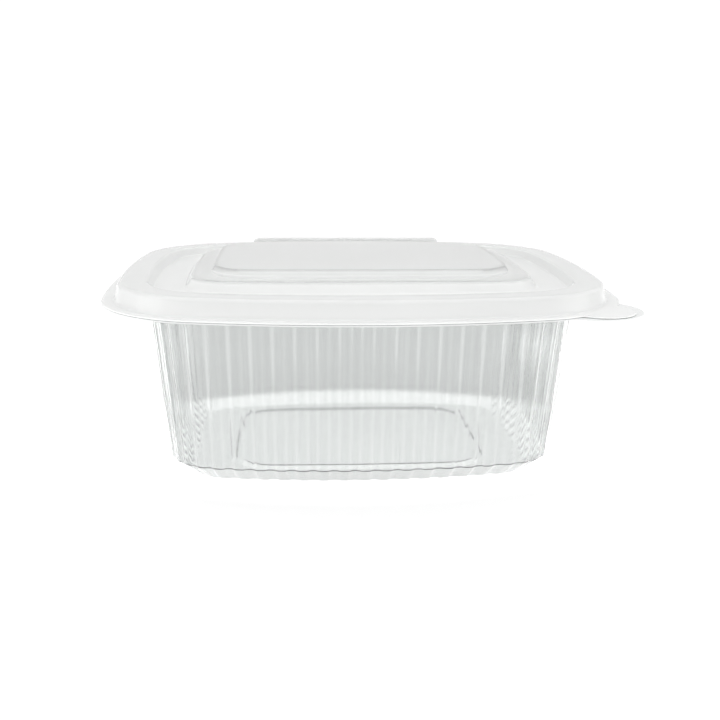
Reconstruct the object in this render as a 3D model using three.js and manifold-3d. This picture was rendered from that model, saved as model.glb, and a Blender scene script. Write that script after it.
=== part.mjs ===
import * as THREE from "three";
import { mergeVertices } from "three/addons/utils/BufferGeometryUtils.js";
import Module from "manifold-3d";

// Takeaway meal container: a thermoformed clear tray with ribbed walls and its hinged lid, closed.
// Millimetres, +Z up, +X to the right, the front towards -Y and the hinge at the back.
// The origin is on the table, under the middle of the whole container.

const wasm = await Module();
wasm.setup();

// Both shells are one sheet of plastic, nested with a little air between them.
const sheet = 0.5;
const nestGap = 0.4;

// Outlines: overall size, how far the front and the side edges bulge, and the corner radius.
// The wall's insets are the rim's at the front and back, and 2 mm less at the sides.
const rim = { width: 190, depth: 161.6, bowFront: 4.6, bowSide: 1.9, corner: 44 };
const wall = { ...rim, width: rim.width + 4 };
const domeFoot = { width: 130, depth: 97, bowFront: 1, bowSide: 1, corner: 18 };
const plateau = { width: 109, depth: 76.5, bowFront: 0.45, bowSide: 0.4, corner: 15.6 };
const floorPanel = { width: 95.5, depth: 73, bowFront: 0.7, bowSide: 0.6, corner: 14.3 };

// Heights above the table
const lidLipTop = 65.5;
const ridgeTop = 71.8;
const channelTop = 69;
const shoulderTop = 73;
const shelfTop = 74;
const plateauTop = 76;
const wallFoot = 6.6;
const panelRise = 1.5;

// Insets from the rim's edge
const lipWidth = 4.6;
const ridgeOuter = 7;
const ridgeInner = 15.6;
const ridgeFoot = 18.4;
const wallHead = 19.5;
const wallFootInset = 25;
const floorEdge = 33;

// Rounding of the ridge's two shoulders, measured along and down
const outerRound = { in: 1.3, down: 1.3 };
const innerRound = { in: 1.2, down: 0.7 };

// Vertical ribs that stand out of the wall, all round
const ribCount = 64;
const ribFootWidth = 5;
const ribCrestWidth = 3;
const ribHeight = 1.2;
const ribHeightAtFloor = 0.8;

// Pull tabs at the front right corner: direction from the corner's centre, reach past the rim and radius
const trayTab = { angle: -41.5, reach: 11.5, radius: 16.5 };
const lidTab = { angle: -44.5, reach: 10, radius: 12 };
const tabOverlap = 2.5;

// Hinge: a folded strip that stands behind the back rim, on a straight stretch of both lips
const rimBack = rim.depth / 2;
const hinge = {
  halfLength: 44,
  plateFront: rimBack - 4.2,
  trayEdge: rimBack + 0.2,
  frontLeg: rimBack + 0.5,
  backLeg: rimBack + 2.5,
  top: 72.3,
};
const hingeRound = 0.5;

// Points round each kind of outline
const rimPoints = 96;
const centrePoints = 64;

// How fast the steps of the lid's dome and the floor's panel lean
const domeLean = 2.6;
const plateauLean = 1.2;
const plateauRound = 0.5;
const panelLean = 0.8;

// Centre of the round corner in the first quadrant, and the radii of the arcs of its two bulged sides
function cornerOf(o) {
  const a = o.width / 2;
  const b = o.depth / 2;
  const backRadius = ((a - o.corner) ** 2 + o.bowFront ** 2) / (2 * o.bowFront);
  const sideRadius = ((b - o.corner) ** 2 + o.bowSide ** 2) / (2 * o.bowSide);
  const backCentre = new THREE.Vector2(0, b - backRadius);
  const sideCentre = new THREE.Vector2(a - sideRadius, 0);
  const toBack = backRadius - o.corner;
  const toSide = sideRadius - o.corner;
  const line = sideCentre.clone().sub(backCentre);
  const length = line.length();
  line.divideScalar(length);
  const along = (toBack ** 2 - toSide ** 2 + length ** 2) / (2 * length);
  const across = Math.sqrt(toBack ** 2 - along ** 2);
  const centre = backCentre.clone().addScaledVector(line, along);
  centre.add(new THREE.Vector2(line.y, -line.x).multiplyScalar(across));
  return { centre, backRadius, sideRadius, backCentre, sideCentre };
}

// The outline as eight arcs, anticlockwise from the middle of the front, moved in by the inset
function outlinePath(shape, inset) {
  const o = {
    ...shape,
    width: shape.width - 2 * inset,
    depth: shape.depth - 2 * inset,
    corner: shape.corner - inset,
  };
  const { centre, backRadius, sideRadius, backCentre, sideCentre } = cornerOf(o);
  const back = centre.clone().sub(backCentre).angle();
  const side = centre.clone().sub(sideCentre).angle();
  const path = new THREE.CurvePath();
  const arc = (x, y, radius, from, to) => path.add(new THREE.EllipseCurve(x, y, radius, radius, from, to));
  arc(0, -backCentre.y, backRadius, -Math.PI / 2, -back);
  arc(centre.x, -centre.y, o.corner, -back, -side);
  arc(sideCentre.x, 0, sideRadius, -side, side);
  arc(centre.x, centre.y, o.corner, side, back);
  arc(0, backCentre.y, backRadius, back, Math.PI - back);
  arc(-centre.x, centre.y, o.corner, Math.PI - back, Math.PI - side);
  arc(-sideCentre.x, 0, sideRadius, Math.PI - side, Math.PI + side);
  arc(-centre.x, -centre.y, o.corner, Math.PI + side, Math.PI + back);
  arc(0, -backCentre.y, backRadius, Math.PI + back, 1.5 * Math.PI);
  return path;
}

// A closed ring of evenly spaced points on an outline
function plainRing(shape, inset, z, count) {
  const path = outlinePath(shape, inset);
  const places = Array.from({ length: count }, (_, i) => i / count);
  const points = places.map((t) => {
    const p = path.getPoint(t);
    return new THREE.Vector3(p.x, p.y, z);
  });
  return { places, points };
}

// A ring that follows the ribs: foot, flat crest and foot of each, standing out by the given height.
// The ribs run square to the outline at the wall's head, so every ring is measured from there.
function ribbedRing(inset, z, height) {
  const path = outlinePath(wall, wallHead);
  const foot = ribFootWidth / 2 / path.getLength();
  const crest = ribCrestWidth / 2 / path.getLength();
  const places = [];
  const points = [];
  for (let rib = 0; rib < ribCount; rib++) {
    for (const [shift, lift] of [[-foot, 0], [-crest, height], [crest, height], [foot, 0]]) {
      const place = rib / ribCount + shift;
      const t = (place + 1) % 1;
      const p = path.getPoint(t);
      const ahead = path.getTangent(t);
      const out = wallHead - inset + lift;
      places.push(place);
      points.push(new THREE.Vector3(p.x + ahead.y * out, p.y - ahead.x * out, z));
    }
  }
  return { places, points };
}

// A section line moved sideways by a distance, towards its right hand; both ends stay level
function offsetLine(line, distance) {
  const normals = line.slice(1).map(([inset, z], i) => {
    const step = new THREE.Vector2(inset - line[i][0], z - line[i][1]).normalize();
    return new THREE.Vector2(step.y, -step.x);
  });
  const level = new THREE.Vector2(0, -1);
  return line.map(([inset, z], i) => {
    const before = normals[i - 1] ?? level;
    const after = normals[i] ?? level;
    const k = distance / (1 + before.dot(after));
    return [inset + (before.x + after.x) * k, z + (before.y + after.y) * k];
  });
}

// One closed body from rings that run from its underside's middle, out round its edge, to its top's middle
function shellGeometry(rings, bottomZ, topZ) {
  const positions = [];
  const faces = [];
  const starts = rings.map((ring) => {
    const start = positions.length / 3;
    ring.points.forEach((p) => positions.push(p.x, p.y, p.z));
    return start;
  });
  const bottom = positions.length / 3;
  positions.push(0, 0, bottomZ, 0, 0, topZ);
  const top = bottom + 1;
  const first = rings[0].points.length;
  for (let i = 0; i < first; i++) {
    faces.push(bottom, starts[0] + ((i + 1) % first), starts[0] + i);
  }
  for (let k = 1; k < rings.length; k++) {
    bridge(faces, rings[k - 1].places, starts[k - 1], rings[k].places, starts[k]);
  }
  const last = rings[rings.length - 1].points.length;
  const lastStart = starts[rings.length - 1];
  for (let i = 0; i < last; i++) {
    faces.push(top, lastStart + i, lastStart + ((i + 1) % last));
  }
  const geometry = new THREE.BufferGeometry();
  geometry.setAttribute("position", new THREE.Float32BufferAttribute(positions, 3));
  geometry.setIndex(faces);
  return geometry;
}

// Triangles between two rings whose points may differ in number, by going round both together
function bridge(faces, lower, lowerStart, upper, upperStart) {
  let i = 0;
  let j = 0;
  const at = (places, k) => places[k % places.length] + Math.floor(k / places.length);
  while (i < lower.length || j < upper.length) {
    const a = lowerStart + (i % lower.length);
    const b = upperStart + (j % upper.length);
    const stepLower = i < lower.length && (j >= upper.length || at(lower, i + 1) <= at(upper, j + 1));
    if (stepLower) {
      i++;
      faces.push(a, lowerStart + (i % lower.length), b);
    } else {
      j++;
      faces.push(a, upperStart + (j % upper.length), b);
    }
  }
}

// A body for joining and cutting, from a closed geometry
function toSolid(geometry) {
  const plain = geometry.clone();
  plain.deleteAttribute("normal");
  plain.deleteAttribute("uv");
  const merged = mergeVertices(plain, 1e-4);
  const vertProperties = new Float32Array(merged.attributes.position.array);
  const triVerts = new Uint32Array(merged.index.array);
  return new wasm.Manifold(new wasm.Mesh({ numProp: 3, vertProperties, triVerts }));
}

function toGeometry(solid) {
  const mesh = solid.getMesh();
  const geometry = new THREE.BufferGeometry();
  geometry.setAttribute("position", new THREE.BufferAttribute(mesh.vertProperties, 3));
  geometry.setIndex(new THREE.BufferAttribute(mesh.triVerts, 1));
  geometry.computeVertexNormals();
  return geometry;
}

function joined(...geometries) {
  return toGeometry(geometries.map(toSolid).reduce((whole, piece) => whole.add(piece)));
}

// The lid's rim in section, top face, from its edge inwards to the channel beside the ridge
function lidRimLine() {
  return [
    [0, lidLipTop],
    [lipWidth, lidLipTop],
    [ridgeOuter - outerRound.in, ridgeTop - outerRound.down],
    [ridgeOuter, ridgeTop],
    [ridgeInner, ridgeTop],
    [ridgeInner + innerRound.in, ridgeTop - innerRound.down],
    [ridgeFoot, channelTop],
  ];
}

// The lid's dome: a step up to a shelf, then a flat plateau with its own rounded edge
function lidDomeLines() {
  const dome = [[0, channelTop], [domeLean, shoulderTop]];
  const top = [
    [-plateauLean, shelfTop],
    [-plateauRound / 2, plateauTop - plateauRound],
    [plateauRound / 2, plateauTop],
  ];
  return { dome, top };
}

function ringsAlong(shape, line, count) {
  return line.map(([inset, z]) => plainRing(shape, inset, z, count));
}

function lidShell() {
  const rimLine = lidRimLine();
  const { dome, top } = lidDomeLines();
  const over = [
    ...ringsAlong(rim, rimLine, rimPoints),
    ...ringsAlong(domeFoot, dome, centrePoints),
    ...ringsAlong(plateau, top, centrePoints),
  ];
  const under = [
    ...ringsAlong(rim, offsetLine(rimLine, sheet), rimPoints),
    ...ringsAlong(domeFoot, offsetLine(dome, sheet), centrePoints),
    ...ringsAlong(plateau, offsetLine(top, sheet), centrePoints),
  ];
  return shellGeometry([...under.reverse(), ...over], plateauTop - sheet, plateauTop);
}

// The tray's rim nests under the lid's: the same section, moved in by the air gap and two sheets
function trayRimLine() {
  const nested = offsetLine(lidRimLine(), nestGap + 2 * sheet);
  return nested.slice(0, -1);
}

function trayShell() {
  const rimLine = trayRimLine();
  const lip = rimLine[0][1];
  const wallLine = [[wallHead, lip], [wallFootInset, wallFoot], [floorEdge, 0]];
  const panelLine = [[-panelLean, 0], [0, panelRise]];
  const section = [...rimLine, ...wallLine];
  const inner = offsetLine(section, -sheet);
  const panelTop = offsetLine(panelLine, -sheet);
  const ribHeights = [ribHeight, ribHeight, ribHeightAtFloor];
  const ribbed = (line) => line.map(([inset, z], i) => ribbedRing(inset, z, ribHeights[i]));
  const split = rimLine.length;
  const outside = [
    ...ringsAlong(rim, section.slice(0, split), rimPoints),
    ...ribbed(section.slice(split)),
    ...ringsAlong(floorPanel, panelLine, centrePoints),
  ];
  const inside = [
    ...ringsAlong(rim, inner.slice(0, split), rimPoints),
    ...ribbed(inner.slice(split)),
    ...ringsAlong(floorPanel, panelTop, centrePoints),
  ];
  return shellGeometry([...outside.reverse(), ...inside], panelRise, panelRise + sheet);
}

// Where a tab's round outline is centred, measured from the centre of the rim's corner
function tabPlace(tab) {
  const { centre } = cornerOf(rim);
  const turn = THREE.MathUtils.degToRad(tab.angle);
  const away = rim.corner + tab.reach - tab.radius;
  const x = centre.x + away * Math.cos(turn);
  const y = -centre.y + away * Math.sin(turn);
  return { centre, turn, away, x, y };
}

// A flat lobe that grows out of the lip at the front right corner
function tabPlate(tab, z) {
  const { centre, turn, away, x, y } = tabPlace(tab);
  const root = rim.corner - tabOverlap;
  const spread = Math.acos((root ** 2 - away ** 2 - tab.radius ** 2) / (2 * away * tab.radius));
  const rootSpread = Math.atan2(tab.radius * Math.sin(spread), away + tab.radius * Math.cos(spread));
  const shape = new THREE.Shape();
  shape.absarc(x, y, tab.radius, turn - spread, turn + spread, false);
  shape.absarc(centre.x, -centre.y, root, turn + rootSpread, turn - rootSpread, true);
  const plate = new THREE.ExtrudeGeometry(shape, { depth: sheet, bevelEnabled: false, curveSegments: 12 });
  return plate.translate(0, 0, z);
}

// A profile in the plane across the hinge, as pairs of y and z, run along the hinge's length
function alongHinge(profile) {
  const shape = new THREE.Shape(profile.map(([y, z]) => new THREE.Vector2(y, z)));
  const length = 2 * hinge.halfLength;
  const strip = new THREE.ExtrudeGeometry(shape, { depth: length, bevelEnabled: false });
  strip.rotateX(Math.PI / 2).rotateZ(Math.PI / 2);
  return strip.translate(-hinge.halfLength, 0, 0);
}

function trayHingePlate(lip) {
  const { plateFront, trayEdge } = hinge;
  return alongHinge([
    [plateFront, lip],
    [trayEdge, lip],
    [trayEdge, lip + sheet],
    [plateFront, lip + sheet],
  ]);
}

// The lid's side of the hinge: the lip runs back, folds up and over, and comes down again
function lidHingeStrip() {
  const { plateFront, frontLeg, backLeg, top } = hinge;
  const lip = lidLipTop - sheet;
  return alongHinge([
    [plateFront, lip],
    [frontLeg + sheet, lip],
    [frontLeg + sheet, top - sheet],
    [backLeg - sheet, top - sheet],
    [backLeg - sheet, lip],
    [backLeg, lip],
    [backLeg, top - hingeRound],
    [backLeg - hingeRound, top],
    [frontLeg + hingeRound, top],
    [frontLeg, top - hingeRound],
    [frontLeg, lidLipTop],
    [plateFront, lidLipTop],
  ]);
}

const trayPlastic = new THREE.MeshStandardMaterial({
  color: 0xd9dfdc,
  roughness: 0.18,
  metalness: 0,
  transparent: true,
  opacity: 0.35,
});
const lidPlastic = new THREE.MeshStandardMaterial({
  color: 0xe4e8e6,
  roughness: 0.22,
  metalness: 0,
  transparent: true,
  opacity: 0.35,
});

function makeTray() {
  const lip = trayRimLine()[0][1];
  const geometry = joined(trayShell(), tabPlate(trayTab, lip), trayHingePlate(lip));
  const tray = new THREE.Mesh(geometry, trayPlastic);
  tray.name = "tray";
  return tray;
}

function makeLid() {
  const geometry = joined(lidShell(), tabPlate(lidTab, lidLipTop - sheet), lidHingeStrip());
  const lid = new THREE.Mesh(geometry, lidPlastic);
  lid.name = "lid";
  return lid;
}

// The tray's tab and the hinge reach past the rim, so the whole is moved to stand centred on the origin.
const tabReach = tabPlace(trayTab).x + trayTab.radius;
const group = new THREE.Group();
group.position.x = -(tabReach - rim.width / 2) / 2;
group.position.y = -(hinge.backLeg - rim.depth / 2) / 2;
group.add(makeTray(), makeLid());

export default group;
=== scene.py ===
import math

import bmesh
import bpy
import numpy as np
from mathutils import Matrix, Vector


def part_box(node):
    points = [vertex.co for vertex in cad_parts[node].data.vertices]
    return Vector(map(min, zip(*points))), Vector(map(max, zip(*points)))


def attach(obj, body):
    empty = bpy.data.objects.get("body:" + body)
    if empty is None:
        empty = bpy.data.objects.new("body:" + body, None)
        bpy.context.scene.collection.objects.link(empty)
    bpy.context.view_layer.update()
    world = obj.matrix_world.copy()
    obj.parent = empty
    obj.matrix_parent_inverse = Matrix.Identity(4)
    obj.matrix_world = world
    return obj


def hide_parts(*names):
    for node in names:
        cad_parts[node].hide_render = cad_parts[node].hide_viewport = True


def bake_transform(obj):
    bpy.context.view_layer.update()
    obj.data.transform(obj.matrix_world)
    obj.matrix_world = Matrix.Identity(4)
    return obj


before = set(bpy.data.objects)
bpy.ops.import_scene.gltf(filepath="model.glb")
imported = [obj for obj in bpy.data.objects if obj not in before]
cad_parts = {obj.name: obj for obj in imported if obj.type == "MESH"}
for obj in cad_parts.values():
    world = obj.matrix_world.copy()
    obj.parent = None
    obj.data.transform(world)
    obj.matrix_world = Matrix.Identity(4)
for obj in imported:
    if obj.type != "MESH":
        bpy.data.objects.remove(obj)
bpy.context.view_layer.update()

# Clear plastic takeaway container, empty, with its lid shut.
# Lengths are in millimetres, as in the CAD, and turn into metres where a mesh is made.
MM = 0.001
SHEET = 0.5
NEST_GAP = 0.12

# Outlines: overall size, how far the front and the side edges bulge, and the corner radius
RIM = dict(width=190, depth=161.6, bow_front=4.6, bow_side=1.9, corner=44)
WALL = dict(RIM, width=RIM["width"] + 4)
DOME_FOOT = dict(width=130, depth=97, bow_front=1, bow_side=1, corner=18)
PLATEAU = dict(width=109, depth=76.5, bow_front=0.45, bow_side=0.4, corner=15.6)
PANEL = dict(width=95.5, depth=73, bow_front=0.7, bow_side=0.6, corner=14.3)

# Heights above the table
LIP_TOP = 65.5
RIDGE_TOP = 71.8
CHANNEL_TOP = 69
SHOULDER_TOP = 73
SHELF_TOP = 74
PLATEAU_TOP = 76
WALL_FOOT = 6.6
PANEL_RISE = 1.5
TRAY_LIP = LIP_TOP - NEST_GAP - 2 * SHEET

# Insets from the rim's edge
LIP_WIDTH = 4.6
RIDGE_OUTER = 6.0
RIDGE_INNER = 16.27
RIDGE_FOOT = 18.4
WALL_HEAD = 19.5
WALL_FOOT_INSET = 25
FLOOR_EDGE = 33

# How fast the steps of the dome and the floor's panel lean, and the shelf's slope between them
DOME_LEAN = 2.6
PLATEAU_LEAN = 1.2
PANEL_LEAN = 0.8
STEP_RUN = 2
SHELF_RISE = 0.3
CHANNEL_RUN = 2.5

# Radii of the rounded corners of the sections
LIP_ROUND, RIDGE_OUTER_ROUND, RIDGE_INNER_ROUND, RIDGE_FOOT_ROUND = 0.9, 1.6, 1.5, 0.9
DOME_FOOT_ROUND, SHOULDER_ROUND, SHELF_ROUND, PLATEAU_ROUND = 2.2, 1.3, 0.8, 0.4
BEAD_ROUNDS = (0, 1.6, 0.7, 1.2)
WALL_HEAD_ROUND, WALL_FOOT_ROUND, FLOOR_ROUND, PANEL_ROUND = 5.0, 1.0, 1.6, 0.9

# Upright ribs that stand out of the wall, all round
RIBS = 64
RIB_FOOT_WIDTH = 6.4
RIB_CREST_WIDTH = 2.0
RIB_HEIGHT = 0.9
RIB_HEIGHT_FLOOR = 0.75
RIBS_START = RIDGE_INNER - 1.5
RIBS_TOP = RIDGE_TOP - 2.2

# Pull tabs at the front right corner: direction from the corner's centre, reach past the rim and radius
TRAY_TAB = dict(angle=-41.5, reach=11.5, radius=16.5)
LID_TAB = dict(angle=-44.5, reach=10, radius=12)
TAB_BLEND = 1.6
TAB_SPAN = 1.2
TAB_FLANK_SLOPE = 0.4

# Hinge: a folded strip behind the back rim, and the thin web that carries it
RIM_BACK = RIM["depth"] / 2
HINGE = dict(half=44, tray_edge=RIM_BACK + 0.2, front=RIM_BACK + 0.5, back=RIM_BACK + 2.5, top=72.3)
HINGE_BLEND = 1.5
STRIP_CORNER = 2.6
STRIP_OVERLAP = 1.6
STRIP_SHEET = SHEET * 0.96
WEB_SHEET = 0.3
WEB_LAP = 0.4

# How finely the meshes are divided
LID_POINTS = 640
FLANK_STEPS = 6
FLAT_STEPS = 3
EDGE_STEPS = 4
MIDDLE_STEPS = 6
WALL_STEP = 5.0
LIP_SHARES = (1, 0.97, 0.9, 0.7, 0.45)

# The shells are built about the middle of the rim, and SHIFT takes that to the frame's origin.
lid_low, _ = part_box("lid")
SHIFT = np.array([lid_low.x / MM + RIM["width"] / 2, lid_low.y / MM + RIM["depth"] / 2, 0])


def eased(share):
    """A share from 0 to 1, with soft ends."""
    share = np.clip(share, 0, 1)
    return share * share * (3 - 2 * share)


# Outlines


def corner_of(shape):
    """Centre of the corner's arc, then radius and centre of the front's and the side's arcs."""
    a, b = shape["width"] / 2, shape["depth"] / 2
    corner, bow_front, bow_side = shape["corner"], shape["bow_front"], shape["bow_side"]
    r_back = ((a - corner) ** 2 + bow_front ** 2) / (2 * bow_front)
    r_side = ((b - corner) ** 2 + bow_side ** 2) / (2 * bow_side)
    back, side = np.array([0, b - r_back]), np.array([a - r_side, 0])
    to_back, to_side = r_back - corner, r_side - corner
    line = side - back
    length = np.hypot(*line)
    line = line / length
    along = (to_back**2 - to_side**2 + length**2) / (2 * length)
    across = math.sqrt(to_back**2 - along**2)
    centre = back + line * along + np.array([line[1], -line[0]]) * across
    return centre, r_back, r_side, back, side


def arcs_of(shape, inset):
    """The outline as arcs (centre, radius, from, to), anticlockwise from the middle of the front."""
    width, depth, corner = shape["width"] - 2 * inset, shape["depth"] - 2 * inset, shape["corner"] - inset
    centre, r_back, r_side, back, side = corner_of(dict(shape, width=width, depth=depth, corner=corner))
    ab = math.atan2(centre[1] - back[1], centre[0] - back[0])
    asd = math.atan2(centre[1] - side[1], centre[0] - side[0])
    pi = math.pi
    return [
        ((0, -back[1]), r_back, -pi / 2, -ab),
        ((centre[0], -centre[1]), corner, -ab, -asd),
        ((side[0], 0), r_side, -asd, asd),
        ((centre[0], centre[1]), corner, asd, ab),
        ((0, back[1]), r_back, ab, pi - ab),
        ((-centre[0], centre[1]), corner, pi - ab, pi - asd),
        ((-side[0], 0), r_side, pi - asd, pi + asd),
        ((-centre[0], -centre[1]), corner, pi + asd, pi + ab),
        ((0, -back[1]), r_back, pi + ab, 1.5 * pi),
    ]


def on_arcs(arcs, index, share):
    """The points and outward normals at those shares of those arcs."""
    centre, radius, start, end = (np.array(v, float)[index] for v in zip(*arcs))
    turn = start + (end - start) * share
    normals = np.column_stack([np.cos(turn), np.sin(turn)])
    return centre + normals * radius[:, None], normals


def placed(arcs, places):
    """Which arc each share of the whole way round falls on, and how far along it."""
    lengths = np.array([r * (t1 - t0) for _, r, t0, t1 in arcs])
    ends = np.cumsum(lengths)
    s = places * ends[-1]
    index = np.minimum(np.searchsorted(ends, s, side="right"), len(arcs) - 1)
    return index, (s - ends[index] + lengths[index]) / lengths[index]


def length_of(arcs):
    return sum(r * (t1 - t0) for _, r, t0, t1 in arcs)


def outline(shape, inset, places):
    """Points and outward normals at those shares of the way round."""
    arcs = arcs_of(shape, inset)
    return on_arcs(arcs, *placed(arcs, places % 1.0))


def matched_outline(shape, inset, places):
    """Points whose sides and corners hold the same points as the rim's sides and corners do."""
    return on_arcs(arcs_of(shape, inset), *placed(arcs_of(RIM, 0), places))[0]


def facing(shape, inset, normals):
    """The points of an outline that face the same way as the given normals."""
    arcs = arcs_of(shape, inset)
    turn = np.arctan2(normals[:, 1], normals[:, 0])
    turn = np.where(turn < -math.pi / 2, turn + 2 * math.pi, turn)
    k = np.minimum(np.searchsorted([a[3] for a in arcs], turn), len(arcs) - 1)
    centres = np.array([a[0] for a in arcs], float)[k]
    return centres + normals * np.array([a[1] for a in arcs])[k][:, None]


# Sections


def rounded(points, steps=6):
    """A section line with its corners rounded: points are (inset, z, radius)."""
    out = [points[0][:2]]
    for before, here, after in zip(points, points[1:], points[2:]):
        p0, p1, p2 = (np.array(p[:2], float) for p in (before, here, after))
        u, v = p0 - p1, p2 - p1
        lu, lv = np.hypot(*u), np.hypot(*v)
        u, v = u / lu, v / lv
        half = math.acos(max(-1, min(1, float(u @ v)))) / 2
        if here[2] <= 0 or half > math.pi / 2 - 0.01:
            out.append(tuple(p1))
            continue
        cut = min(here[2] / math.tan(half), 0.49 * lu, 0.49 * lv)
        r = cut * math.tan(half)
        mid = (u + v) / np.hypot(*(u + v))
        c = p1 + mid * r / math.sin(half)
        a, b = p1 + u * cut - c, p1 + v * cut - c
        turn = math.atan2(a[0] * b[1] - a[1] * b[0], float(a @ b))
        for i in range(steps + 1):
            cos, sin = math.cos(turn * i / steps), math.sin(turn * i / steps)
            out.append((c[0] + a[0] * cos - a[1] * sin, c[1] + a[0] * sin + a[1] * cos))
    out.append(points[-1][:2])
    return out


def offset_line(line, distance):
    """The line moved towards its right hand, with mitred corners and level ends."""
    pts = [np.array(p[:2], float) for p in line]
    normals = []
    for p, q in zip(pts, pts[1:]):
        d = (q - p) / np.hypot(*(q - p))
        normals.append(np.array([d[1], -d[0]]))
    level = np.array([0, -1.0])
    out = []
    for p, a, b in zip(pts, [level] + normals, normals + [level]):
        out.append(p + (a + b) * distance / (1 + float(a @ b)))
    return out


def split_long(line, step):
    """Adds points on long stretches, so that no step is much longer than that."""
    out = [line[0]]
    for p, q in zip(line, line[1:]):
        p, q = np.array(p, float), np.array(q, float)
        n = max(1, math.ceil(np.hypot(*(q - p)) / step))
        out += [tuple(p + (q - p) * i / n) for i in range(1, n + 1)]
    return out


LID_LINE = [
    (0, LIP_TOP, 0),
    (LIP_WIDTH, LIP_TOP, LIP_ROUND),
    (RIDGE_OUTER, RIDGE_TOP, RIDGE_OUTER_ROUND),
    (RIDGE_INNER, RIDGE_TOP, RIDGE_INNER_ROUND),
    (RIDGE_FOOT, CHANNEL_TOP, RIDGE_FOOT_ROUND),
    (RIDGE_FOOT + CHANNEL_RUN, CHANNEL_TOP, 0),
]


def tray_section():
    """The tray's underside from the lip to the floor, and the inset at which the lip ends."""
    nested = offset_line(LID_LINE[:-1], NEST_GAP + 2 * SHEET)
    corners = [(p[0], p[1], r) for p, r in zip(nested, BEAD_ROUNDS)]
    corners += [
        (WALL_HEAD, TRAY_LIP, WALL_HEAD_ROUND),
        (WALL_FOOT_INSET, WALL_FOOT, WALL_FOOT_ROUND),
        (FLOOR_EDGE, 0, FLOOR_ROUND),
        (FLOOR_EDGE + 3, 0, 0),
    ]
    return split_long(rounded(corners, 7), WALL_STEP), nested[1][0]


# Rings


def at_height(points, z):
    return np.column_stack([points, np.full(len(points), z)])


def tab_reach(tab, normals, points):
    """How far past the rim the tab's lobe goes at each point of the edge, along the edge's normal."""
    turn = math.radians(tab["angle"])
    away = RIM["corner"] + tab["reach"] - tab["radius"]
    d = np.arctan2(normals[:, 1], normals[:, 0]) - turn
    inside = tab["radius"] ** 2 - (away * np.sin(d)) ** 2
    near = (np.abs(d) < TAB_SPAN) & (points[:, 0] > 0) & (points[:, 1] < 0)
    r = np.where(near & (inside > 0), away * np.cos(d) + np.sqrt(np.maximum(inside, 0)), 0)
    low = np.where(near, away * np.cos(d) - np.abs(away * np.sin(d)) * TAB_FLANK_SLOPE, 0)
    lobe = np.maximum(r, low) - RIM["corner"]
    # A soft maximum with the rim itself fills the corners where the lobe leaves it.
    h = np.clip(0.5 + 0.5 * lobe / TAB_BLEND, 0, 1)
    return np.where(near, lobe * h + TAB_BLEND * h * (1 - h), 0)


def hinge_reach(edge_y, normals, points):
    """How far the lip runs on at the back, out to the straight edge beside the hinge."""
    share = eased((HINGE["half"] + HINGE_BLEND / 2 - np.abs(points[:, 0])) / HINGE_BLEND)
    reach = (edge_y - points[:, 1]) / np.maximum(normals[:, 1], 0.5) * share
    return np.where((points[:, 1] > 0) & (share > 0), reach, 0)


def lip_ring(share, z, p, n, tab, back_edge):
    """A ring on the lip, from the rim's points p and normals n.
    Share 0 is its inner side, and 1 is its outer edge with the tab's lobe."""
    reach = tab_reach(tab, n, p) + hinge_reach(back_edge, n, p) - SHEET / 2
    inset = LIP_WIDTH * (1 - share) - reach * share
    return at_height(p - n * inset[:, None], z)


def toward_middle(ring):
    """Rings that shrink from the given one towards its middle, innermost first."""
    middle = ring.mean(axis=0)
    return [middle + (ring - middle) * k / (MIDDLE_STEPS + 1) for k in range(1, MIDDLE_STEPS + 1)]


def rib_pattern():
    """Shares of the way round, close together on the ribs' flanks, how raised each is and how steep."""
    total = length_of(arcs_of(WALL, WALL_HEAD))
    pitch = total / RIBS
    crest, foot = RIB_CREST_WIDTH / 2, RIB_FOOT_WIDTH / 2
    t = np.arange(FLANK_STEPS + 1) / FLANK_STEPS
    flank = crest + (foot - crest) * t
    flat = foot + (pitch - 2 * foot) * np.arange(1, FLAT_STEPS) / FLAT_STEPS
    s = np.concatenate([-flank[::-1], [0], flank, flat])
    up = 0.5 + 0.5 * np.cos(np.pi * t)
    lift = np.concatenate([up[::-1], [1], up, 0 * flat])
    steep = np.sin(np.pi * t) ** 2
    slope = np.concatenate([steep[::-1], [0], steep, 0 * flat])
    places = (np.arange(RIBS)[:, None] * pitch + s[None, :]).ravel() / total
    return places, np.tile(lift, RIBS), np.tile(slope, RIBS)


PLACES, LIFT, SLOPE = rib_pattern()
WALL_LINE, OUTWARD = outline(WALL, WALL_HEAD, PLACES)


def spacing(points):
    return np.linalg.norm(np.roll(points, -1, axis=0) - np.roll(points, 1, axis=0), axis=1)


def rib_height(inset, z):
    """How far the ribs stand out there: they fade out on the bead and on the floor."""
    if inset < RIBS_START:
        return 0
    low = np.clip((WALL_FOOT - z) / WALL_FOOT, 0, 1)
    height = RIB_HEIGHT + (RIB_HEIGHT_FLOOR - RIB_HEIGHT) * low
    on_bead = eased((z - TRAY_LIP) / (RIBS_TOP - TRAY_LIP))
    on_floor = eased((inset - FLOOR_EDGE) / FLOOR_ROUND)
    return height * (1 - on_bead) * (1 - on_floor)


def ribbed_ring(inset, z, height):
    """A ring of the tray: the bead follows the rim, and the ribs run square to the wall's outline."""
    p = WALL_LINE + OUTWARD * (WALL_HEAD - inset)
    on_rim = min(1, max(0, (WALL_HEAD - inset) / (WALL_HEAD - RIDGE_INNER)))
    p += (facing(RIM, inset, OUTWARD) - p) * on_rim
    # Where the ribs crowd together at the foot of a corner, they are lower too.
    crowding = (spacing(p) / spacing(WALL_LINE)) ** 2
    return at_height(p + OUTWARD * (LIFT * height * crowding)[:, None], z)


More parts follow.
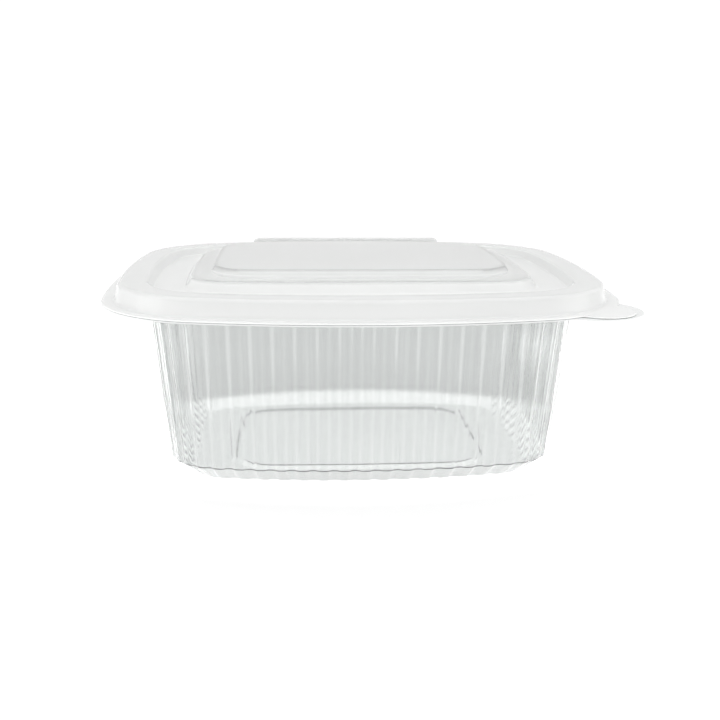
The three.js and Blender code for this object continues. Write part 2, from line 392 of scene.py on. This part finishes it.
def tray_rings():
    """The tray's underside, from the middle of the floor out, and how steep the ribs are at each point."""
    line, lip_end = tray_section()
    rings, marks = [], []
    for inset, z in line:
        if z < TRAY_LIP or inset > lip_end + 0.01:
            height = rib_height(inset, z)
            rings.append(ribbed_ring(inset, z, height))
            marks.append(SLOPE * height / RIB_HEIGHT)
    rim = facing(RIM, 0, OUTWARD)
    shares = (*LIP_SHARES, 0.2)
    edge = [lip_ring(s, TRAY_LIP, rim, OUTWARD, TRAY_TAB, HINGE["tray_edge"]) for s in shares]
    panel = rounded([
        (-PANEL_LEAN - STEP_RUN, 0, 0),
        (-PANEL_LEAN, 0, PANEL_ROUND),
        (0, PANEL_RISE, PANEL_ROUND),
        (STEP_RUN, PANEL_RISE, 0),
    ])
    middle = [at_height(outline(PANEL, i, PLACES)[0], z) for i, z in panel]
    middle += toward_middle(middle[-1])[::-1]
    plain = np.zeros(len(PLACES))
    rings = np.array(edge + rings + middle)
    marks = np.array([plain] * len(edge) + marks + [plain] * len(middle))
    return rings[::-1], marks[::-1]


def lid_rings():
    """The lid's upper side, from the middle of the plateau out to the lip's edge."""
    places = np.arange(LID_POINTS) / LID_POINTS
    dome = rounded([
        (-CHANNEL_RUN, CHANNEL_TOP, 0),
        (0, CHANNEL_TOP, DOME_FOOT_ROUND),
        (DOME_LEAN, SHOULDER_TOP, SHOULDER_ROUND),
        (DOME_LEAN + STEP_RUN, SHOULDER_TOP + SHELF_RISE, 0),
    ])
    top = rounded([
        (-PLATEAU_LEAN - STEP_RUN, SHELF_TOP - SHELF_RISE, 0),
        (-PLATEAU_LEAN, SHELF_TOP, SHELF_ROUND),
        (0, PLATEAU_TOP, PLATEAU_ROUND),
        (STEP_RUN, PLATEAU_TOP, 0),
    ])
    p, n = outline(RIM, 0, places)
    rings = [lip_ring(s, LIP_TOP, p, n, LID_TAB, HINGE["front"] + SHEET / 2) for s in LIP_SHARES]
    for shape, section in ((RIM, rounded(LID_LINE)[1:]), (DOME_FOOT, dome), (PLATEAU, top)):
        rings += [at_height(matched_outline(shape, i, places), z) for i, z in section]
    return np.array(toward_middle(rings[-1]) + rings[::-1])


# Shells


def grid_normals(rings):
    along = np.gradient(rings, axis=0)
    around = np.roll(rings, -1, axis=1) - np.roll(rings, 1, axis=1)
    n = np.cross(around, along)
    return n / np.maximum(np.linalg.norm(n, axis=2, keepdims=True), 1e-12)


def closed_shell(rings, side):
    """A sheet with both faces and a round edge, from rings that run from the middle out to the edge.
    side is +1 if the second face lies on the side the grid's normal points to, else -1."""
    n = grid_normals(rings) * side
    n[0] = n[1]
    other = rings + n * SHEET
    out = rings[-1] - rings[-2]
    out -= n[-1] * np.sum(out * n[-1], axis=1, keepdims=True)
    out /= np.linalg.norm(out, axis=1, keepdims=True)
    mid = (rings[-1] + other[-1]) / 2
    edge = []
    for i in range(1, EDGE_STEPS):
        w = math.pi * i / EDGE_STEPS
        edge.append(mid + (out * math.sin(w) - n[-1] * math.cos(w)) * SHEET / 2)
    return np.concatenate([rings, np.array(edge), other[::-1]])


def linked(name, mesh):
    """A smooth object made of that mesh, in the scene."""
    mesh.shade_smooth()
    obj = bpy.data.objects.new(name, mesh)
    bpy.context.scene.collection.objects.link(obj)
    return obj


def mesh_from_rings(name, rings, flip):
    """One closed mesh from rings, with a pole at each end."""
    count, around, _ = rings.shape
    poles = [rings[0].mean(axis=0), rings[-1].mean(axis=0)]
    verts = np.concatenate([rings.reshape(-1, 3), poles])
    i = np.arange(around)
    j = (i + 1) % around
    quads = []
    for k in range(count - 1):
        a, b = k * around, (k + 1) * around
        quads.append(np.stack([a + i, a + j, b + j, b + i], 1))
    quads = np.concatenate(quads)
    first, last = count * around, count * around + 1
    top = (count - 1) * around
    tris = np.concatenate([np.stack([first + 0 * i, j, i], 1), np.stack([last + 0 * i, top + i, top + j], 1)])
    if flip:
        quads, tris = quads[:, ::-1], tris[:, ::-1]
    mesh = bpy.data.meshes.new(name)
    mesh.from_pydata(((verts + SHIFT) * MM).tolist(), [], quads.tolist() + tris.tolist())
    mesh.update()
    return linked(name, mesh)


# Hinge


def thick_line(line, thickness, arc=3):
    """A closed outline round an open line, with round ends."""
    line = np.array(line)
    ahead = np.gradient(line, axis=0)
    ahead /= np.linalg.norm(ahead, axis=1, keepdims=True)
    normal = np.stack([ahead[:, 1], -ahead[:, 0]], 1)
    half = thickness / 2
    turns = [math.pi * i / arc for i in range(1, arc)]
    loop = [p + n * half for p, n in zip(line, normal)]
    loop += [line[-1] + (normal[-1] * math.cos(w) + ahead[-1] * math.sin(w)) * half for w in turns]
    loop += [p - n * half for p, n in zip(line[::-1], normal[::-1])]
    loop += [line[0] - (normal[0] * math.cos(w) + ahead[0] * math.sin(w)) * half for w in turns]
    return np.array(loop)


def strip_mesh(name, stations):
    """A closed strip along X, from pairs of x and a closed outline in the plane across it."""
    count = len(stations[0][1])
    verts = [(x, y, z) for x, loop in stations for y, z in loop]
    faces = [list(range(count))]
    for k in range(len(stations) - 1):
        for i in range(count):
            j = (i + 1) % count
            faces.append([k * count + i, (k + 1) * count + i, (k + 1) * count + j, k * count + j])
    last = (len(stations) - 1) * count
    faces.append([last + i for i in reversed(range(count))])
    mesh = bpy.data.meshes.new(name)
    mesh.from_pydata(((np.array(verts) + SHIFT) * MM).tolist(), [], faces)
    made = bmesh.new()
    made.from_mesh(mesh)
    bmesh.ops.recalc_face_normals(made, faces=made.faces)
    made.to_mesh(mesh)
    made.free()
    obj = linked(name, mesh)
    for cap in (mesh.polygons[0], mesh.polygons[-1]):
        cap.use_smooth = False
    return obj


def hinge_strip():
    """The folded strip behind the lid's back lip: up from the lip, over, and down again."""
    front, rear = HINGE["front"] + SHEET / 2, HINGE["back"] - SHEET / 2
    level = LIP_TOP - SHEET / 2
    corner_steps, span_steps = 8, 22
    turns = [math.pi / 2 * k / corner_steps for k in range(corner_steps + 1)]
    ends = [HINGE["half"] - STRIP_CORNER * (1 - math.cos(turn)) for turn in turns]
    spread = list(np.linspace(-ends[-1], ends[-1], span_steps + 1))[1:-1]
    stations = []
    for x in [-v for v in ends] + spread + ends[::-1]:
        past = max(0.0, abs(x) - (HINGE["half"] - STRIP_CORNER)) / STRIP_CORNER
        top = HINGE["top"] - SHEET / 2 - STRIP_CORNER * (1 - math.sqrt(max(0.0, 1 - past * past)))
        line = rounded([
            (front - STRIP_OVERLAP, level, 0),
            (front, level, 0.5),
            (front, top, 0.75),
            (rear, top, 0.75),
            (rear, level, 0),
        ], 5)
        stations.append((x, thick_line(line, STRIP_SHEET)))
    return strip_mesh("lid_hinge_strip", stations)


def hinge_web():
    """The living hinge: the thin line of plastic between the tray's back lip and the strip."""
    lip = TRAY_LIP + SHEET / 2
    rear = HINGE["back"] - SHEET / 2
    line = rounded([
        (HINGE["tray_edge"] - WEB_LAP, lip, 0),
        (rear, lip - 0.05, 0.7),
        (rear, LIP_TOP - SHEET / 2 + 0.15, 0),
    ], 8)
    loop = thick_line(split_long(line, 0.25), WEB_SHEET)
    half = HINGE["half"] - 0.5
    return strip_mesh("hinge_web", [(x, loop) for x in np.linspace(-half, half, 45)])


def joined(obj, other):
    """obj with the other closed mesh made one with it."""
    union = obj.modifiers.new("join", "BOOLEAN")
    union.operation, union.solver, union.object = "UNION", "MANIFOLD", other
    bpy.context.view_layer.update()
    whole = bpy.data.meshes.new_from_object(obj.evaluated_get(bpy.context.evaluated_depsgraph_get()))
    obj.modifiers.clear()
    whole.materials.clear()
    obj.data = whole
    obj.data.name = obj.name
    bpy.data.objects.remove(other)
    return obj


# Nodes


def fill(tree, node, values):
    """Gives the node's inputs their values: numbers and colours, or the outputs of other nodes."""
    for name, value in values.items():
        if isinstance(value, bpy.types.NodeSocket):
            tree.links.new(value, node.inputs[name])
        else:
            node.inputs[name].default_value = value


def add_node(tree, kind, values=None, **settings):
    """A node of that kind, with values for its inputs and settings of its own."""
    node = tree.nodes.new("ShaderNode" + kind)
    for name, setting in settings.items():
        setattr(node, name, setting)
    fill(tree, node, values or {})
    return node


def ranged(tree, value, source, target, interpolation="SMOOTHSTEP"):
    """The value moved from one range to the other."""
    sockets = {"Value": value, "From Min": source[0], "From Max": source[1]}
    sockets.update({"To Min": target[0], "To Max": target[1]})
    return add_node(tree, "MapRange", sockets, interpolation_type=interpolation).outputs["Result"]


def calculated(tree, operation, *values):
    """A sum, product or the like of sockets and numbers."""
    return add_node(tree, "Math", dict(enumerate(values)), operation=operation).outputs["Value"]


def noise(tree, vector, scale, detail):
    return add_node(tree, "TexNoise", {"Vector": vector, "Scale": scale, "Detail": detail}).outputs["Fac"]


def ramped(tree, factor, stops):
    """A colour that runs through those pairs of a position and a colour."""
    ramp = add_node(tree, "ValToRGB", {"Fac": factor})
    elements = ramp.color_ramp.elements
    elements[0].position, elements[-1].position = stops[0][0], stops[-1][0]
    for position, _ in stops[1:-1]:
        elements.new(position)
    for element, (_, colour) in zip(elements, stops):
        element.color = (*colour, 1)
    return ramp.outputs["Color"]


def grey(value):
    return value, value, value


# Materials

CLOUD_SCALE, CLOUD_DETAIL = 22, 3
GLOSS_SCALE, GLOSS_DETAIL = 90, 4
FLOW_STRETCH, FLOW_DETAIL = (60, 60, 14), 2
FLOW_DEPTH = 0.6 * MM


def plastic(name, tints, roughness, haze, bump, flank_tint=None):
    """Thermoformed polypropylene: clear, with faint flow marks and an uneven gloss.
    haze is pairs of a height in mm and how milky the plastic is there, from low to high."""
    mat = bpy.data.materials.new(name)
    mat.use_nodes = True
    tree = mat.node_tree
    tree.nodes.clear()
    coords = add_node(tree, "TexCoord").outputs["Object"]
    height = add_node(tree, "SeparateXYZ", {"Vector": coords}).outputs["Z"]
    low, high = haze[0][0], haze[-1][0]
    height = ranged(tree, height, (low * MM, high * MM), (0, 1), "LINEAR")
    clear = ramped(tree, height, [((z - low) / (high - low), grey(1 - milky)) for z, milky in haze])
    cloud = noise(tree, coords, CLOUD_SCALE, CLOUD_DETAIL)
    colour = ramped(tree, cloud, [(0.3, tints[0]), (0.7, tints[1])])
    if flank_tint:
        flank = add_node(tree, "Attribute", attribute_name="flank").outputs["Fac"]
        thin = {"Factor": flank, "A": colour, "B": (*flank_tint, 1)}
        colour = add_node(tree, "Mix", thin, data_type="RGBA").outputs["Result"]
    gloss = ranged(tree, noise(tree, coords, GLOSS_SCALE, GLOSS_DETAIL), (0, 1), roughness, "LINEAR")
    stretched = add_node(tree, "Mapping", {"Vector": coords, "Scale": FLOW_STRETCH}).outputs["Vector"]
    flow = noise(tree, stretched, 1.0, FLOW_DETAIL)
    relief = add_node(tree, "Bump", {"Strength": bump, "Distance": FLOW_DEPTH, "Height": flow})
    shader = add_node(tree, "BsdfPrincipled", {
        "IOR": 1.49,
        "Transmission Weight": clear,
        "Base Color": colour,
        "Roughness": gloss,
        "Normal": relief.outputs["Normal"],
    })
    add_node(tree, "OutputMaterial", {"Surface": shader.outputs["BSDF"]})
    return mat


# Brightness of the floor, which gives off light: its even base, a painted pool of light under the object,
# painted shade that dims that pool at the object's front edge, and painted glowing patches beside it
FLOOR_GLOW = 0.8
PAINTED_POOL_GLOW, PAINTED_POOL_EDGE, PAINTED_POOL_SHAPE = 0.8, (0.064, 0.074), (0.62, 1, 1)
PAINTED_FRONT_SHADE_SHARE, PAINTED_FRONT_SHADE_EDGE = 0.3, (-0.05, -0.034)
PAINTED_SIDE_GLOW, SIDE_EDGE, SIDE_END = 0.9, (0.105, 0.14), (0.14, 0.2)


def floor_material():
    """A pale table that gives off light evenly, with a painted pool of light under the object that painted
    shade dims at the front, and painted glowing patches at its left and right.
    """
    mat = bpy.data.materials.new("studio_floor")
    mat.use_nodes = True
    tree = mat.node_tree
    coords = add_node(tree, "TexCoord").outputs["Object"]
    place = add_node(tree, "SeparateXYZ", {"Vector": coords}).outputs
    oval = add_node(tree, "Mapping", {"Vector": coords, "Scale": PAINTED_POOL_SHAPE}).outputs["Vector"]
    away = add_node(tree, "VectorMath", {0: oval}, operation="LENGTH").outputs["Value"]
    # Painted pool of light: the floor glows brighter under the object.
    painted_light_pool = ranged(tree, away, PAINTED_POOL_EDGE, (PAINTED_POOL_GLOW, 0))
    # Painted shade: the pool of light dims towards the object's front edge, like a contact shadow.
    near = ranged(tree, place["Y"], PAINTED_FRONT_SHADE_EDGE, (PAINTED_FRONT_SHADE_SHARE, 1))
    # Painted light: glowing patches on the floor at the left and right of the object.
    sideways = ranged(tree, calculated(tree, "ABSOLUTE", place["X"]), SIDE_EDGE, (0, PAINTED_SIDE_GLOW))
    level = ranged(tree, calculated(tree, "ABSOLUTE", place["Y"]), SIDE_END, (1, 0))
    painted_side_patches = calculated(tree, "MULTIPLY", sideways, level)
    painted_light_patches = calculated(tree, "MULTIPLY_ADD", painted_light_pool, near, painted_side_patches)
    fill(tree, tree.nodes["Principled BSDF"], {
        "Base Color": ramped(tree, noise(tree, coords, 3, 2), [(0, grey(0.19)), (1, grey(0.21))]),
        "Roughness": 0.8,
        "Emission Color": (1, 1, 1, 1),
        "Emission Strength": calculated(tree, "ADD", painted_light_patches, FLOOR_GLOW),
    })
    return mat


# Pieces

TRAY_TINTS = (0.755, 0.767, 0.763), (0.775, 0.787, 0.783)
FLANK_TINT = (0.8, 0.811, 0.807)
TRAY_HAZE = (61.5, 0.06), (63.3, 0.95)
LID_TINTS = (0.93, 0.937, 0.931), (0.95, 0.957, 0.951)
LID_HAZE = (
    (65.2, 0.95), (65.55, 0.72), (71.8, 0.6), (73, 0.25), (74, 0.4), (75.3, 0.42), (75.48, 0.36), (76, 0.36),
)
tray_plastic = plastic("clear_tray_plastic", TRAY_TINTS, (0.04, 0.08), TRAY_HAZE, 0.06, FLANK_TINT)
lid_plastic = plastic("clear_lid_plastic", LID_TINTS, (0.05, 0.1), LID_HAZE, 0.03)

rings, marks = tray_rings()
tray = mesh_from_rings("tray_shell", closed_shell(rings, -1), False)
edge_marks = np.zeros((EDGE_STEPS - 1) * len(PLACES))
marks = np.concatenate([marks.ravel(), edge_marks, marks[::-1].ravel(), [0, 0]])
tray.data.attributes.new("flank", "FLOAT", "POINT").data.foreach_set("value", marks.astype(np.float32))
tray.data.materials.append(tray_plastic)
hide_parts("tray")
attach(tray, "tray")

lid = mesh_from_rings("lid_shell", closed_shell(lid_rings(), 1), True)
lid = joined(lid, hinge_strip())
lid.data.materials.append(lid_plastic)
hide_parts("lid")
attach(lid, "lid")

web = hinge_web()
web.data.materials.append(tray_plastic)
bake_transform(web)

# Stage, in metres

bpy.ops.mesh.primitive_circle_add(vertices=96, radius=4, fill_type="NGON", location=(0, 0, -0.0002))
floor = bpy.context.object
floor.name = "studio_floor"
floor.data.materials.append(floor_material())


def softbox(name, place, target, size, power):
    data = bpy.data.lights.new(name, "AREA")
    data.shape = "RECTANGLE"
    data.size, data.size_y = size
    data.energy = power
    lamp = bpy.data.objects.new(name, data)
    lamp.location = place
    lamp.rotation_mode = "QUATERNION"
    lamp.rotation_quaternion = (Vector(target) - Vector(place)).to_track_quat("-Z", "Y")
    bpy.context.scene.collection.objects.link(lamp)


softbox("softbox_top", (0, 0.3, 1.3), (0, 0, 0), (1.8, 1.2), 3)
softbox("softbox_left", (-1.1, -0.2, 0.4), (0, 0, 0.03), (0.7, 0.8), 1.5)
softbox("softbox_right", (1.1, -0.2, 0.4), (0, 0, 0.03), (0.7, 0.8), 1.5)

# The room is brighter on the side that the object is seen from, and white straight behind it.
ROOM_FRONT, ROOM_BACK, ROOM_BLEND = 1.25, 0.85, (-0.8, 0.8)
BACKDROP = 1.1

world = bpy.data.worlds.new("studio")
bpy.context.scene.world = world
world.use_nodes = True
tree = world.node_tree
direction = add_node(tree, "SeparateXYZ", {"Vector": add_node(tree, "TexCoord").outputs["Generated"]})
room = ranged(tree, direction.outputs["Y"], ROOM_BLEND, (ROOM_FRONT, ROOM_BACK))
seen = add_node(tree, "LightPath").outputs["Is Camera Ray"]
strength = add_node(tree, "Mix", {"Factor": seen, "A": room, "B": BACKDROP}).outputs["Result"]
fill(tree, tree.nodes["Background"], {"Color": (1, 1, 1, 1), "Strength": strength})

# Light passes many faces of clear plastic on its way.
bpy.context.scene.cycles.max_bounces = 32
bpy.context.scene.cycles.transmission_bounces = 32
bpy.context.scene.cycles.glossy_bounces = 8

# Camera: its direction in degrees, and its place in millimetres from the middle of the rim
CAMERA_AZIMUTH, CAMERA_ELEVATION, CAMERA_ROLL = -4.0, 14.36, 0.5
CAMERA_PLACE = (-25.10, -379.67, 130.48)
CAMERA_LENS, SENSOR_WIDTH = 48.457, 36

azimuth, elevation, roll = (math.radians(v) for v in (CAMERA_AZIMUTH, CAMERA_ELEVATION, CAMERA_ROLL))
level = math.cos(elevation)
back = Vector((math.sin(azimuth) * level, -math.cos(azimuth) * level, math.sin(elevation)))
right = Vector((math.cos(azimuth), math.sin(azimuth), 0))
up = back.cross(right)
side = right * math.cos(roll) + up * math.sin(roll)
top = up * math.cos(roll) - right * math.sin(roll)
place = (Vector(CAMERA_PLACE) + Vector(SHIFT)) * MM
camera_data = bpy.data.cameras.new("camera")
camera_data.sensor_width = SENSOR_WIDTH
camera_data.lens = CAMERA_LENS
camera_data.clip_start = 0.01
camera = bpy.data.objects.new("camera", camera_data)
camera.matrix_world = Matrix((
    (side.x, top.x, back.x, place.x),
    (side.y, top.y, back.y, place.y),
    (side.z, top.z, back.z, place.z),
    (0, 0, 0, 1),
))
bpy.context.scene.collection.objects.link(camera)
bpy.context.scene.camera = camera
bpy.context.scene.view_settings.view_transform = "Standard"
